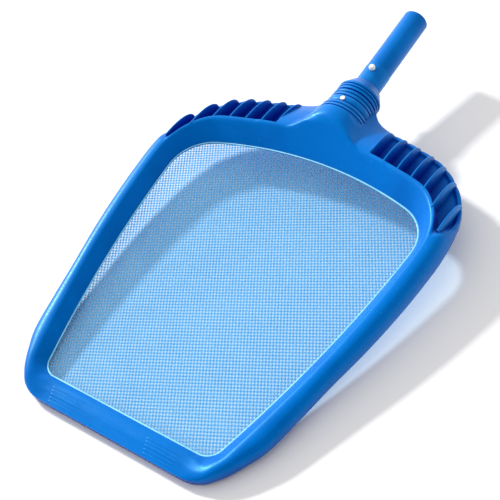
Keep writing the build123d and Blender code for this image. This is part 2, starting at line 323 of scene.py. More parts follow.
def inner_at(length):
    """The opening's edge at a length along it."""
    return np.array([np.interp(length, ALONG, HALF[:, 0]), np.interp(length, ALONG, HALF[:, 1])])


# The next five functions name a length along the opening by the stretch that it lies on.
def front(x):
    """The length at a distance from the middle along the straight front."""
    return float(x)


def corner(share):
    """The length at a share of the front corner."""
    return CORNER_C[0] + CORNER_R * CORNER_TURN * share


def side(y):
    """The length where the side has come back to y."""
    first = np.argmax(HALF[:, 1] >= SIDE_FROM)
    last = np.argmax(HALF[:, 1] > SIDE_TO) + 1
    return float(np.interp(y, HALF[first:last, 1], ALONG[first:last]))


def rear_corner(share):
    """The length at a share of the rear corner."""
    return side(SIDE_TO - CORNER_LAP) + REAR_R * (REAR_TO - REAR_FROM) * share


def arch(x):
    """The length where the rear arch is x from the middle."""
    return float(ALONG[-1] - ARCH_R * math.asin(x / ARCH_R))


# The moulding's sections from the front middle round to the rear middle. Each row: place along the
# opening, outer edge (x, y), crest's distance and height, its flat width, then the fall's power and
# root, and the height at the outer edge.
SECTIONS = [
    (front(0), 0, -25, 2.2, 3.0, 12.0, 1.0, 1.0, 1.2),
    (front(45), 46, -25, 2.2, 3.0, 12.0, 1.0, 1.0, 1.2),
    (front(76), 80, -25, 2.4, 3.1, 12.0, 1.0, 1.0, 1.2),
    (corner(0.15), 93, -23.4, 6.0, 4.4, 9.0, 1.6, 1.3, 1.2),
    (corner(0.36), 104, -18.5, 11.0, 6.8, 4.5, 2.4, 1.8, 1.2),
    (corner(0.55), 111, -11.5, 11.0, 8.4, 1.8, 2.8, 2.0, 1.2),
    (corner(0.75), 117, -4.0, 10.5, 9.2, 1.0, 3.0, 2.0, 1.0),
    (corner(1.0), 124, 8, 10.5, 10.0, 0.8, 3.0, 2.0, 1.0),
    (side(35), 135, 31, 10.7, 10.8, 0.8, 3.0, 2.0, 1.0),
    (side(70), 143.4, 70, 10.8, 11.5, 0.8, 3.0, 2.0, 1.0),
    (side(110), 150.2, 108, 11.0, 12.4, 0.8, 3.0, 2.0, 1.0),
    (side(160), 160.0, 156, 11.2, 13.4, 0.8, 3.0, 2.0, 1.0),
    (side(205), 167.0, 202, 11.2, 14.4, 0.8, 3.0, 2.0, 1.0),
    (side(240), 170.8, 240, 11.0, 15.4, 1.0, 3.0, 2.0, 1.0),
    (rear_corner(0.0), 172.2, 272, 11.0, 16.4, 1.6, 3.0, 2.0, 1.0),
    (rear_corner(0.28), 169.6, 303.4, 11.8, 17.4, 2.6, 2.6, 2.0, 1.0),
    (rear_corner(0.55), 160.4, 332.0, 13.5, 18.2, 3.4, 2.2, 2.0, 1.0),
    (rear_corner(0.8), 141.8, 355.4, 16.3, 18.8, 3.6, 2.0, 2.0, 1.0),
    (rear_corner(1.0), 119.8, 371.2, 17.6, CREST, 3.6, 2.0, 2.0, 1.0),
    (arch(90), 90.0, 381.0, 17.6, CREST, 3.6, 2.0, 2.0, 1.0),
    (arch(70), 70.0, 385.6, 17.6, CREST, 3.6, 1.8, 1.6, 1.0),
    (arch(55.5), 55.5, 388.4, 17.6, CREST, 3.6, 1.4, 1.2, 1.0),
    (arch(43), 43.0, 392.0, 17.6, CREST, 4.0, 1.4, 1.2, 1.0),
    (arch(33), 33.0, 397.6, 17.6, CREST, 4.5, 1.4, 1.2, 1.0),
    (arch(25), 24.0, 407.5, 17.6, CREST, 5.0, 1.4, 1.2, 1.0),
    (arch(16), 14.0, 414.0, 17.6, CREST, 5.0, 1.4, 1.2, 1.0),
    (arch(0), 0.0, 414.0, 17.6, CREST, 5.0, 1.4, 1.2, 1.0),
]
# Spans between rows that go round the rear corner, where the outer edge is longer than the opening.
FAN_SPANS = range(13, 19)
FAN_DENSITY = 1.8
# The outer wall's bottom edge: lowest along the lip, higher at the front corners and the rails.
WALL_BOTTOM = [(front(88), UNDERSIDE), (corner(0.5), -5.0), (side(60), -4.6), (rear_corner(0.5), -5.4)]
# The lip's outer wall leans inwards as far as this place, and stands upright from the next.
LIP_TUCK_FROM = front(84)
LIP_TUCK_TO = corner(0.7)


def stations():
    """Sections of half the frame, closely spaced, and closer still round the rear corner."""
    keys = np.array(SECTIONS)
    counts = [max(2, round((b - a) / STATION_STEP)) for a, b in zip(keys[:-1, 0], keys[1:, 0])]
    for i in FAN_SPANS:
        counts[i] = round(counts[i] * FAN_DENSITY)
    return spline(keys[:, 1:], keys[:, 0], counts)


def saddle_height(x, y):
    """The neck's base over the crest: round at the neck, flaring towards the basin."""
    flare = max(0.0, (SADDLE_Y - y) / FLARE_LENGTH)
    radius = SADDLE_R
    if y >= SADDLE_Y:
        radius = max(SADDLE_END_R, SADDLE_R - SADDLE_NARROWING * (y - SADDLE_Y))
    half = radius + FLARE_WIDTH * flare**2
    inside = 1 - (x / half) ** 2
    if inside > 0:
        return SADDLE_Z + radius * math.sqrt(inside)
    return SADDLE_Z - SADDLE_FALL * (abs(x) / half - 1)


def section_samples(width, crest, band):
    """Distances across the top of one section, closer together where it turns, and four marks on it."""
    band_end = min(crest + band, width - 2.0)
    floor_start = band_end + min(3.6, (width - band_end) * 0.3)
    rim_start = max(width - 6.5, floor_start + (width - floor_start) * 0.5)
    rim_top = rim_start + (width - rim_start) * 0.4
    stretches = [
        (0.0, crest, (0, 0.03, 0.1, 0.22, 0.36, 0.5, 0.64, 0.76, 0.86, 0.94, 1.0)),
        (crest, band_end, (0.25, 0.5, 0.75, 1.0)),
        (band_end, floor_start, (0.15, 0.35, 0.6, 0.8, 1.0)),
        (floor_start, rim_start, np.linspace(0, 1, 11)[1:]),
        (rim_start, rim_top, (0.33, 0.66, 1.0)),
        (rim_top, width, (0.3, 0.55, 0.75, 0.88, 0.96, 1.0)),
    ]
    samples = [start + (end - start) * share for start, end, shares in stretches for share in shares]
    return samples, (band_end, floor_start, rim_start, rim_top)


# Sample numbers of the flat crest's outer edge and of the rim's outer edge, in section_samples' order.
BAND_SAMPLE = 14
RIM_SAMPLE = 38


def pocket_share(where):
    """How far the rear bank's pockets are sunk at a place: none at the rails and by the neck."""
    if where > arch(55.9):
        return 0.0
    return smooth_step(where, rear_corner(0.1), rear_corner(0.42))


def hollow_share(where):
    """How far the rear bank is hollow beneath at a place."""
    if where > arch(46):
        return 0.0
    return smooth_step(where, rear_corner(0.0), rear_corner(0.3))


def scallop(x, where):
    """The rim's small bulge between two ribs, from 0 at a rib to 1 between them."""
    if where > arch(55.6) or where < rear_corner(0.3):
        return 0.0
    phase = (abs(x) - RIB_START) / RIB_PITCH
    return abs(math.sin(math.pi * phase)) ** 0.8


def pocket_height(u, width, crown, rim, marks):
    """The height of a pocket: down from the crest, back along the floor, then over the round rim."""
    band_end, floor_start, rim_start, rim_top = marks
    rim_foot = RIM_TOP - RIM_DROP
    if u <= floor_start:
        return crown + (POCKET_FLOOR - crown) * smooth_step(u, band_end, floor_start)
    if u <= rim_start:
        return POCKET_FLOOR + (rim_foot - POCKET_FLOOR) * (u - floor_start) / (rim_start - floor_start)
    if u <= rim_top:
        return rim_foot + (rim - rim_foot) * smooth_step(u, rim_start, rim_top)
    share = (u - rim_top) / (width - rim_top)
    return rim - RIM_ROUND * (1 - math.sqrt(max(0.0, 1 - share**2)))


def top_height(u, width, where, point, shape, marks):
    """The moulding's top at a distance from the opening, along one section."""
    crest_u, crest_z, _, power, root, edge_z = shape
    band_end = marks[0]
    if u <= band_end:
        crown = crest_z
    else:
        share = min(1.0, (u - band_end) / max(0.1, width - band_end))
        crown = edge_z + (crest_z - edge_z) * max(0.0, 1 - share**power) ** (1 / root)
    if point[1] > SADDLE_FROM_Y and abs(point[0]) < SADDLE_REACH_X:
        crown = smooth_max(crown, saddle_height(point[0], point[1]), SADDLE_BLEND)
    sunk = pocket_share(where)
    if sunk > 0 and u > band_end:
        rim = RIM_TOP + RIM_BULGE_UP * scallop(point[0], where)
        crown += (pocket_height(u, width, crown, rim, marks) - crown) * sunk
    inner_wall = LAND + (crest_z - LAND) / crest_u * u
    is_lip = width < LIP_WIDTH_BELOW and crest_z < LIP_CREST_BELOW
    return smooth_min(inner_wall, crown, LIP_ROUND if is_lip else CREST_ROUND)


def wall_bottom(where):
    """The height of the outer wall's bottom edge at a place."""
    return float(np.interp(where, [w for w, z in WALL_BOTTOM], [z for w, z in WALL_BOTTOM]))


def underside(width, bottom, ceiling):
    """From the outer wall's foot inwards: the foot's round, the hollow, the ring's seat and the net's."""
    wall_in = max(SEAT + 3.0, width - WALL)
    seat = min(SEAT, width - 2.0)
    wall_mid = max(seat + 1.6, wall_in)
    return [
        (width, bottom + BOTTOM_ROUND), (width - 0.3, bottom + 0.25), (width - BOTTOM_ROUND, bottom),
        (min(width - 1.1, wall_mid), bottom), (min(width - 1.2, wall_mid - 0.1), ceiling),
        (min(width - 1.3, seat + 3.0), ceiling), (min(width - 1.35, seat + 2.9), bottom),
        (seat, bottom), (seat, 0.0), (seat * 0.5, 0.0), (0.0, 0.0),
    ]


def frame_section(where, values):
    """One closed section of the moulding, from the opening's edge over the top and back beneath."""
    inner = inner_at(where)
    outer = np.array(values[:2])
    width = float(np.hypot(*(outer - inner)))
    along = (outer - inner) / width
    width += RIM_BULGE_OUT * scallop(outer[0], where) * pocket_share(where)
    samples, marks = section_samples(width, values[2], values[4])
    section = []
    for u in samples:
        z = top_height(u, width, where, inner + along * u, values[2:], marks)
        section.append((u, min(z, LAND) if u == 0 else z))
    top_edge = section[-1][1]
    bottom = wall_bottom(where)
    tuck = LIP_TUCK * (1 - smooth_step(where, LIP_TUCK_FROM, LIP_TUCK_TO))
    ceiling = bottom + (HOLLOW_CEILING - bottom) * hollow_share(where)
    for share in (0.25, 0.5, 0.75):
        section.append((width - tuck * share, top_edge + (bottom + BOTTOM_ROUND - top_edge) * share))
    section += underside(width - tuck, bottom, ceiling)
    return [(inner[0] + along[0] * u, inner[1] + along[1] * u, z) for u, z in section]


def mirror(points):
    """The same points on the other side of the middle."""
    return [(-x, y, z) for x, y, z in points]


def frame_shell():
    """Points and faces of the frame's ring, and the sections of its right half."""
    half = [frame_section(w, v) for w, v in zip(*stations())]
    mirrored = [mirror(section) for section in half]
    ring = half + mirrored[-2:0:-1]
    points = [p for section in ring for p in section]
    return points, grid_faces(len(ring), len(half[0]), wrap_rows=True, wrap_columns=True), half


def curve_y(half, sample, x):
    """Where one sample line of the rear bank lies at a distance from the middle."""
    rear = [s[sample] for s in half if s[0][1] > REAR_BANK_FROM_Y]
    xs = np.array([p[0] for p in rear])
    ys = np.array([p[1] for p in rear])
    order = np.argsort(xs)
    return float(np.interp(x, xs[order], ys[order]))


def rib_sections(half, x):
    """One rib of the rear bank: a thin wall that falls in a round curve from the crest to the rim."""
    start = curve_y(half, BAND_SAMPLE, x) - RIB_TUCK_FRONT
    top = CREST - RIB_BELOW_CREST
    if x > LAST_RIBS_X:
        start = LAST_RIBS_START
        top = LAST_RIBS_TOP
    end = curve_y(half, RIM_SAMPLE, x) - RIB_TUCK_REAR
    sections = []
    for share in (0, 0.1, 0.2, 0.32, 0.44, 0.56, 0.67, 0.77, 0.85, 0.91, 0.96, 0.985, 1.0):
        y = start + (end - start) * share
        fall = max(0.0, 1 - max(0.0, share * 1.02 - 0.02) ** 2.2)
        z = RIB_RIM + (top - RIB_RIM) * math.sqrt(fall)
        profile = [(-RIB_HALF_FOOT, RIB_FOOT), (-0.95, z - 0.9), (-0.7, z - 0.3), (-0.3, z), (0.3, z),
                   (0.7, z - 0.3), (0.95, z - 0.9), (RIB_HALF_FOOT, RIB_FOOT)]
        sections.append([(x + across, y, max(RIB_FOOT, height)) for across, height in profile])
    return sections


# The neck's base under the frame, from the ring's seat back: place, half width and lowest height.
CHIN = [
    (339.6, 50.0, -7.9), (343, 48.0, -10.2), (348, 44.5, -12.9), (354, 40.0, -15.9),
    (360, 36.0, -18.5), (367, 32.0, -21.2), (375, 29.0, -23.2), (380, 27.0, -22.0),
]
CHIN_MIDDLE = 6.0
CHIN_TOP = 4.0
CHIN_POINTS = 40


def chin_sections():
    """The neck's base below the frame: half-round beneath and nearly flat above."""
    sections = []
    for y, half, low in CHIN:
        section = []
        for across, up in ring_points(1.0, CHIN_POINTS):
            depth = CHIN_MIDDLE - low if up < 0 else CHIN_TOP
            section.append((half * across, y, CHIN_MIDDLE + depth * up))
        sections.append(section)
    return sections


# The neck's turned profile: place along its axis and radius, from the base to the handle's end. The
# first line is the base, the last is the cone and the bore, and each line between is a groove and its ring.
NECK_PROFILE = [
    (-63.0, 22.0), (-60.0, 27.6), (-59.0, 28.7), (-58.2, 29.0), (-56.6, 28.9), (-56.2, 28.6),
    (-56.0, 27.6), (-55.2, 27.6), (-55.0, 28.3), (-54.6, 28.6), (-52.2, 28.2), (-51.8, 27.9),
    (-51.6, 26.9), (-50.8, 26.9), (-50.6, 27.5), (-50.2, 27.8), (-47.6, 27.5), (-46.9, 27.1), (-46.7, 26.2),
    (-46.6, 24.4), (-45.4, 24.4), (-45.2, 25.6), (-44.6, 26.0), (-38.2, 25.5), (-37.8, 25.2),
    (-37.6, 24.2), (-36.8, 24.2), (-36.6, 25.0), (-36.2, 25.3), (-33.6, 25.1), (-33.2, 24.9),
    (-33.0, 23.9), (-32.2, 23.9), (-32.0, 24.7), (-31.6, 25.0), (-29.3, 25.0), (-28.7, 24.6), (-28.5, 23.9),
    (-28.4, 22.4), (-26.9, 22.4), (-26.7, 23.9), (-26.2, 24.4), (-23.6, 24.5), (-23.3, 24.2),
    (-23.1, 23.3), (-22.4, 23.3), (-22.2, 24.2), (-21.9, 24.5), (-20.0, 24.5), (-19.7, 24.2),
    (-19.5, 23.3), (-18.8, 23.3), (-18.6, 24.2), (-18.3, 24.5), (-16.6, 24.5), (-15.6, 24.2), (-15.0, 23.7),
    (-10.0, 20.7), (-5.6, 18.1), (-4.7, 17.4), (-4.2, 16.6), (-4.2, 14.45), (-20.0, 14.45),
]
NECK_POINTS = 96


def lathe(profile, count):
    """Points about the Y axis for a list of (place, radius), and the faces between them."""
    points = []
    for place, radius in profile:
        points += [(x, place, z) for x, z in ring_points(radius, count)]
    return points, grid_faces(len(profile), count, wrap_columns=True)


def grip_ridge_sections(side_sign, index):
    """One fine ridge of the lip's grip, slightly shorter towards the front edge."""
    y = GRIP_FIRST_Y + index * GRIP_PITCH
    half = GRIP_HALF - 1.2 * (GRIP_COUNT - 1 - index)
    lip = LIP_HEIGHT - LIP_FALL * min(1.0, max(0.0, (-y - LIP_SLOPE_FROM) / LIP_SLOPE_LENGTH))
    foot = lip - 0.6
    sections = []
    for share in (-1.0, -0.97, -0.85, -0.4, 0.0, 0.4, 0.85, 0.97, 1.0):
        top = lip + GRIP_HEIGHT * math.sqrt(max(0.0, 1 - abs(share) ** 12)) - 0.02
        x = side_sign * GRIP_MIDDLE + half * share
        profile = ((-0.75, foot), (-0.45, top - 0.12), (0.0, top), (0.45, top - 0.12), (0.75, foot))
        sections.append([(x, y + back, z) for back, z in profile])
    return sections


def build_frame(material):
    """The frame moulding: ring, ribs, chin, grip ridges and neck as one piece."""
    points, faces, half = frame_shell()

    def add(sections):
        faces.extend(loft_faces(len(sections), len(sections[0]), len(points)))
        for section in sections:
            points.extend(section)

    for index in range(RIB_COUNT):
        rib = rib_sections(half, RIB_START + RIB_PITCH * index)
        add(rib)
        add([mirror(section) for section in rib])
    add(chin_sections())
    for side_sign in (-1, 1):
        for index in range(GRIP_COUNT):
            add(grip_ridge_sections(side_sign, index))
    neck_points, neck_faces = lathe(NECK_PROFILE, NECK_POINTS)
    first = len(points)
    points.extend([tuple(p) for p in on_axis(neck_points)])
    faces.extend(tuple(i + first for i in f) for f in neck_faces)
    obj = make_object("skimmer_frame", points, faces, material, 40.0)
    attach(obj, "head")
    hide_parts("frame")


def whole_outline(offset):
    """Points all round the opening, moved outwards by an offset."""
    steps = np.gradient(HALF, axis=0)
    lengths = np.hypot(steps[:, 0], steps[:, 1])
    normals = np.stack([steps[:, 1], -steps[:, 0]], axis=1) / lengths[:, None]
    normals[0] = (0.0, -1.0)
    normals[-1] = (0.0, 1.0)
    half = HALF + normals * offset
    mirrored = half[-2:0:-1] * np.array([-1.0, 1.0])
    return np.concatenate([half, mirrored])


def chord(loop, start, direction):
    """Where a line enters and leaves a closed loop, as distances along the line, or None."""
    across = np.array([-direction[1], direction[0]])
    heights = (loop - start) @ across
    crossings = []
    for i in range(len(loop)):
        j = (i + 1) % len(loop)
        if (heights[i] < 0) != (heights[j] < 0):
            share = heights[i] / (heights[i] - heights[j])
            crossings.append(float((loop[i] + (loop[j] - loop[i]) * share - start) @ direction))
    if len(crossings) < 2:
        return None
    return min(crossings), max(crossings)


def thread_places(ends, step):
    """Places along a thread, in steps: its two ends and every crossing between them."""
    crossings = range(math.ceil(ends[0] / step), math.floor(ends[1] / step) + 1)
    return [ends[0] / step, *crossings, ends[1] / step]


def build_net(material, hem):
    """The woven net: two crossing families of flat threads that pass over and under each other."""
    loop = whole_outline(NET_TUCK)
    middle = np.array(NET_MIDDLE)
    ways = [np.array([math.cos(a), math.sin(a)]) for a in THREAD_ANGLES]
    between = math.sin(THREAD_ANGLES[1] - THREAD_ANGLES[0])
    steps = [pitch / between for pitch in THREAD_PITCHES]
    height = NET_TOP - THREAD_BELOW_TOP
    points = []
    faces = []
    for family, (way, other) in enumerate((ways, ways[::-1])):
        side_way = np.array([-way[1], way[0]])
        step = steps[1 - family]
        for line in range(-LINES_EACH_WAY, LINES_EACH_WAY + 1):
            start = middle + other * (line * steps[family])
            ends = chord(loop, start, way)
            if ends is None or ends[1] - ends[0] < 2 * step:
                continue
            places = thread_places(ends, step)
            first = len(points)
            for place in places:
                centre = start + way * (place * step)
                wave = THREAD_WAVE if (round(place) + line + family) % 2 else -THREAD_WAVE
                for share, crown in ((-0.5, 0.0), (0.0, THREAD_CROWN), (0.5, 0.0)):
                    x, y = centre + side_way * (THREAD_WIDTH * share)
                    points.append((x, y, height + wave + crown))
            faces.extend(tuple(first + i for i in f) for f in grid_faces(len(places), 3))
    net = make_object("net_threads", points, faces, material, 80.0)
    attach(net, "head")
    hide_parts("net_panel")


# The hem's section: distance out from the opening's edge, and height. The bead's top is what is marked.
HEM_PROFILE = [
    (-1.6, -0.34), (-1.56, -0.16), (-1.4, 0.02), (-1.0, 0.12), (-0.6, 0.1), (-0.1, 0.0),
    (0.3, -0.02), (HEM_TUCK, -0.02), (HEM_TUCK, -0.58), (-1.5, -0.58),
]
HEM_MARKED = (2, 3, 4)


def build_hem(material):
    """The band welded on the net's edge, with a fine row of weld marks along its bead."""
    rings = [whole_outline(out) for out, z in HEM_PROFILE]
    count = len(rings[0])
    points = []
    for i in range(count):
        for part in range(WELD_MARKS_APART):
            share = part / WELD_MARKS_APART
            dip = WELD_DIP if part == 0 else 0.0
            for index, (out, z) in enumerate(HEM_PROFILE):
                x, y = rings[index][i] * (1 - share) + rings[index][(i + 1) % count] * share
                points.append((x, y, z - (dip if index in HEM_MARKED else 0.0)))
    faces = grid_faces(count * WELD_MARKS_APART, len(HEM_PROFILE), wrap_rows=True, wrap_columns=True)
    hem = make_object("hem_band", points, faces, material, 50.0)
    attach(hem, "head")
    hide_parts("net_hem")
    return hem


def screw_places():
    """Screw centres round the ring, in matching pairs on each side."""
    places = [(x, -SCREW_OFFSET) for x in (-66.0, 0.0, 66.0)]
    for y in (38.0, 110.0, 182.0, 254.0):
        x = side_x(y) + SCREW_OFFSET
        places += [(-x, y), (x, y)]
    for x in (-92.0, -32.0, 32.0, 92.0):
        places.append((x, ARCH_C + math.sqrt(ARCH_R**2 - x**2) + SCREW_OFFSET))
    return places


def cross_outline(reach, half_width):
    """The twelve corners of a cross-shaped recess, anticlockwise."""
    corners = []
    for quarter in range(4):
        angle = quarter * math.pi / 2
        for x, y in ((reach, -half_width), (reach, half_width), (half_width, half_width)):
            turned_x = x * math.cos(angle) - y * math.sin(angle)
            turned_y = x * math.sin(angle) + y * math.cos(angle)
            corners.append((turned_x, turned_y))
    return corners


# A pan-head screw, head down: radius and height, from the shank's end to the recess.
SCREW_PROFILE = [
    (1.5, 5.2), (1.5, 0.0), (2.9, 0.0), (3.0, -0.15), (3.0, -0.75), (2.86, -1.15),
    (2.5, -1.5), (2.05, -1.7), (1.75, -1.78),
]
RECESS_REACH = 1.55
RECESS_HALF_WIDTH = 0.36
RECESS_TAPER = 0.72
RECESS_TOP = -1.8
RECESS_FLOOR = -0.75


def screw_mesh():
    """One screw: a turned head and plain shank, with three sides of the head to each recess corner."""
    cross = cross_outline(RECESS_REACH, RECESS_HALF_WIDTH)
    keys = [math.atan2(y, x) for x, y in cross]
    angles = []
    for i, angle in enumerate(keys):
        gap = (keys[(i + 1) % len(keys)] - angle) % (2 * math.pi)
        angles += [angle, angle + gap / 3, angle + 2 * gap / 3]
    points = []
    for radius, z in SCREW_PROFILE:
        points += [(radius * math.cos(a), radius * math.sin(a), z) for a in angles]
    faces = grid_faces(len(SCREW_PROFILE), len(angles), wrap_columns=True)
    faces.append(tuple(range(len(angles))))
    top = (len(SCREW_PROFILE) - 1) * len(angles)
    edge = len(points)
    points += [(x, y, RECESS_TOP) for x, y in cross]
    floor = len(points)
    points += [(x * RECESS_TAPER, y * RECESS_TAPER, RECESS_FLOOR) for x, y in cross]
    for i in range(len(cross)):
        j = (i + 1) % len(cross)
        ring = [top + (3 * i + k) % len(angles) for k in range(4)]
        faces.append((edge + i, edge + j, ring[3], ring[2], ring[1], ring[0]))
        faces.append((edge + i, edge + j, floor + j, floor + i))
    faces.append(tuple(floor + i for i in range(len(cross))))
    return points, faces


def build_screws(material):
    """The ring's screws, all one kind, as one piece."""
    screw_points, screw_faces = screw_mesh()
    points = []
    faces = []
    for index, (x, y) in enumerate(screw_places()):
        turn = SCREW_TURN * index
        first = len(points)
        for px, py, pz in screw_points:
            points.append((x + px * math.cos(turn) - py * math.sin(turn),
                           y + px * math.sin(turn) + py * math.cos(turn), pz + RING_UNDER))
        faces += [tuple(first + i for i in face) for face in screw_faces]
    screws = make_object("ring_screws", points, faces, material, 32.0)
    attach(screws, "head")
    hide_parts("retaining_screws")


# Turned profiles of the buttons and the pin: radius and distance from the neck's axis.
BUTTON_PROFILE = [
    (4.3, 9.4), (4.55, 9.6), (4.55, 10.35), (4.3, 10.55), (3.5, 10.6), (3.4, 10.8), (3.4, 15.9),
    (3.34, 16.5), (3.1, 17.15), (2.7, 17.65), (2.15, 18.0), (1.6, 18.17), (1.25, 18.2), (1.1, 18.1),
    (0.95, 17.96), (0.6, 17.9), (0.2, 17.9),
]
PIN_PROFILE = [
    (1.7, 11.0), (1.95, 11.2), (1.95, 25.25), (2.55, 25.3), (2.68, 25.45), (2.68, 26.35), (2.55, 26.7),
    (2.25, 26.88), (1.9, 26.9), (1.3, 26.86), (0.2, 26.84),
]
TURNED_POINTS = 48


def upright_turned(profile, place):
    """A closed turned shape about an upright axis at a place along the neck's axis."""
    points = []
    for radius, z in profile:
        points += [(x, place + y, z) for x, y in ring_points(radius, TURNED_POINTS)]
    return points, loft_faces(len(profile), TURNED_POINTS, 0)


def build_button(name, body, side_sign, material):
    """One snap button: flange, stud and rounded crown with a small moulding dimple."""
    points, faces = upright_turned(BUTTON_PROFILE, BUTTON_Y)
    points = [(x, y, side_sign * z) for x, y, z in points]
    button = make_object(name, on_axis(points), faces, material, 50.0)
    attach(button, body)
    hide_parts(body)


def build_pin(material):
    """The lock pin: shank and a low rounded head."""
    points, faces = upright_turned(PIN_PROFILE, PIN_Y)
    pin = make_object("neck_pin", on_axis(points), faces, material, 50.0)
    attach(pin, "head")
    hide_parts("lock_pin")


# One half of the folded leaf, from its fold to its tip under the button: place on the axis and height.
SPRING_PATH = [
    (-27.2, 0.0), (-26.6, 1.7), (-24.0, 3.3), (-12.0, 5.4), (0.0, 7.5), (8.0, 8.9), (11.0, 9.1), (18.5, 9.1),
]
SPRING_STEPS = [4, 4, 6, 6, 5, 4, 4]


def build_spring_half(name, side_sign, material):
    """Half of the folded leaf spring, from its fold to its tip under the button."""
    keys = np.array(SPRING_PATH)
    line = spline(keys, path_lengths(keys), SPRING_STEPS)[1]
    steps = np.gradient(line, axis=0)
    steps /= np.hypot(steps[:, 0], steps[:, 1])[:, None]
    half = SPRING_WIDTH / 2
    thick = SPRING_LEAF / 2
    inset = half - SPRING_EDGE
    profile = [(-half, -0.5), (-inset, -1.0), (inset, -1.0), (half, -0.5),
               (half, 0.5), (inset, 1.0), (-inset, 1.0), (-half, 0.5)]
    points = []
    for (y, z), (step_y, step_z) in zip(line, steps):
        points += [(x, y - step_z * thick * u, side_sign * (z + step_y * thick * u)) for x, u in profile]
    faces = loft_faces(len(line), len(profile), 0)
    leaf = make_object(name, on_axis(points), faces, material, 40.0)
    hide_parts("snap_spring")
    fold, tip = row(on_axis([(0.0, SPRING_FOLD_Y, 0.0), (0.0, SPRING_TIP_Y, 0.0)]))
    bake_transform(leaf)


class Nodes:
    """Adds shader nodes to one new material and links them, so each material reads as a recipe."""

    def __init__(self, name, roughness, specular=0.5, tint=(1.0, 1.0, 1.0), sheen=0.0, metallic=0.0):
        self.material = bpy.data.materials.new(name)
        self.material.use_nodes = True
        self.tree = self.material.node_tree
        self.shader = self.tree.nodes["Principled BSDF"]
        self.shader.inputs["Roughness"].default_value = roughness
        self.shader.inputs["Specular IOR Level"].default_value = specular
        self.shader.inputs["Specular Tint"].default_value = (*tint, 1.0)
        self.shader.inputs["Sheen Weight"].default_value = sheen
        self.shader.inputs["Metallic"].default_value = metallic
        self.place = self.add("ShaderNodeTexCoord").outputs["Object"]

    def add(self, kind, **settings):
        """A new node with the given settings."""
        node = self.tree.nodes.new(kind)
        for key, value in settings.items():
            setattr(node, key, value)
        return node

    def link(self, source, target):
        """Joins an output to an input."""
        self.tree.links.new(source, target)

    def stretched(self, scale, rotation=(0.0, 0.0, 0.0)):
        """The object's own coordinates, turned and scaled unevenly."""
        mapping = self.add("ShaderNodeMapping")
        mapping.inputs["Scale"].default_value = scale
        mapping.inputs["Rotation"].default_value = rotation
        self.link(self.place, mapping.inputs["Vector"])
        return mapping.outputs["Vector"]

    def along(self, angle):
        """The object's own coordinates, turned flat to a thread's direction."""
        return self.stretched((1.0, 1.0, 1.0), (0.0, 0.0, angle))

    def noise(self, scale, detail=4.0, roughness=0.55, place=None):
        """Cloudy values from 0 to 1."""
        node = self.add("ShaderNodeTexNoise")
        node.inputs["Scale"].default_value = scale
        node.inputs["Detail"].default_value = detail
        node.inputs["Roughness"].default_value = roughness
        self.link(place or self.place, node.inputs["Vector"])
        return node.outputs["Fac"]

    def wave(self, scale, place, distortion=0.0):
        """Straight bands of values from 0 to 1."""
        node = self.add("ShaderNodeTexWave")
        node.inputs["Scale"].default_value = scale
        node.inputs["Distortion"].default_value = distortion
        self.link(place, node.inputs["Vector"])
        return node.outputs["Fac"]

    def product(self, first, second):
        """Two values multiplied."""
        node = self.add("ShaderNodeMath", operation="MULTIPLY")
        self.link(first, node.inputs[0])
        self.link(second, node.inputs[1])
        return node.outputs["Value"]

    def spread(self, source, low, high, out_low, out_high):
        """Takes values between low and high to values between out_low and out_high."""
        node = self.add("ShaderNodeMapRange")
        node.inputs["From Min"].default_value = low
        node.inputs["From Max"].default_value = high
        node.inputs["To Min"].default_value = out_low
        node.inputs["To Max"].default_value = out_high
        self.link(source, node.inputs["Value"])
        return node.outputs["Result"]

    def ramp(self, source, stops):
        """A colour for each value of the source, from (position, colour) stops."""
        node = self.add("ShaderNodeValToRGB")
        elements = node.color_ramp.elements
        while len(elements) < len(stops):
            elements.new(0.5)
        for element, (position, colour) in zip(elements, stops):
            element.position = position
            element.color = (*colour, 1.0)
        self.link(source, node.inputs["Fac"])
        return node.outputs["Color"]

    def mix(self, share, first, second):
        """Two colours mixed, each an output or a plain colour."""
        node = self.add("ShaderNodeMix", data_type="RGBA")
        for name, value in (("A", first), ("B", second)):
            socket = next(s for s in node.inputs if s.name == name and s.type == "RGBA")
            if isinstance(value, tuple):
                socket.default_value = (*value, 1.0)
            else:
                self.link(value, socket)
        self.link(share, node.inputs["Factor"])
        return next(s for s in node.outputs if s.type == "RGBA")

    def bump(self, source, strength, distance, before=None):
        """A bumped surface direction, over an earlier one if it is given."""
        node = self.add("ShaderNodeBump")
        node.inputs["Strength"].default_value = strength
        node.inputs["Distance"].default_value = distance
        self.link(source, node.inputs["Height"])
        if before is not None:
            self.link(before, node.inputs["Normal"])
        return node.outputs["Normal"]

    def finish(self, colour, roughness, normal):
        """Links the shader's colour, roughness and surface direction."""
        self.link(colour, self.shader.inputs["Base Color"])
        if roughness is not None:
            self.link(roughness, self.shader.inputs["Roughness"])
        self.link(normal, self.shader.inputs["Normal"])
        return self.material


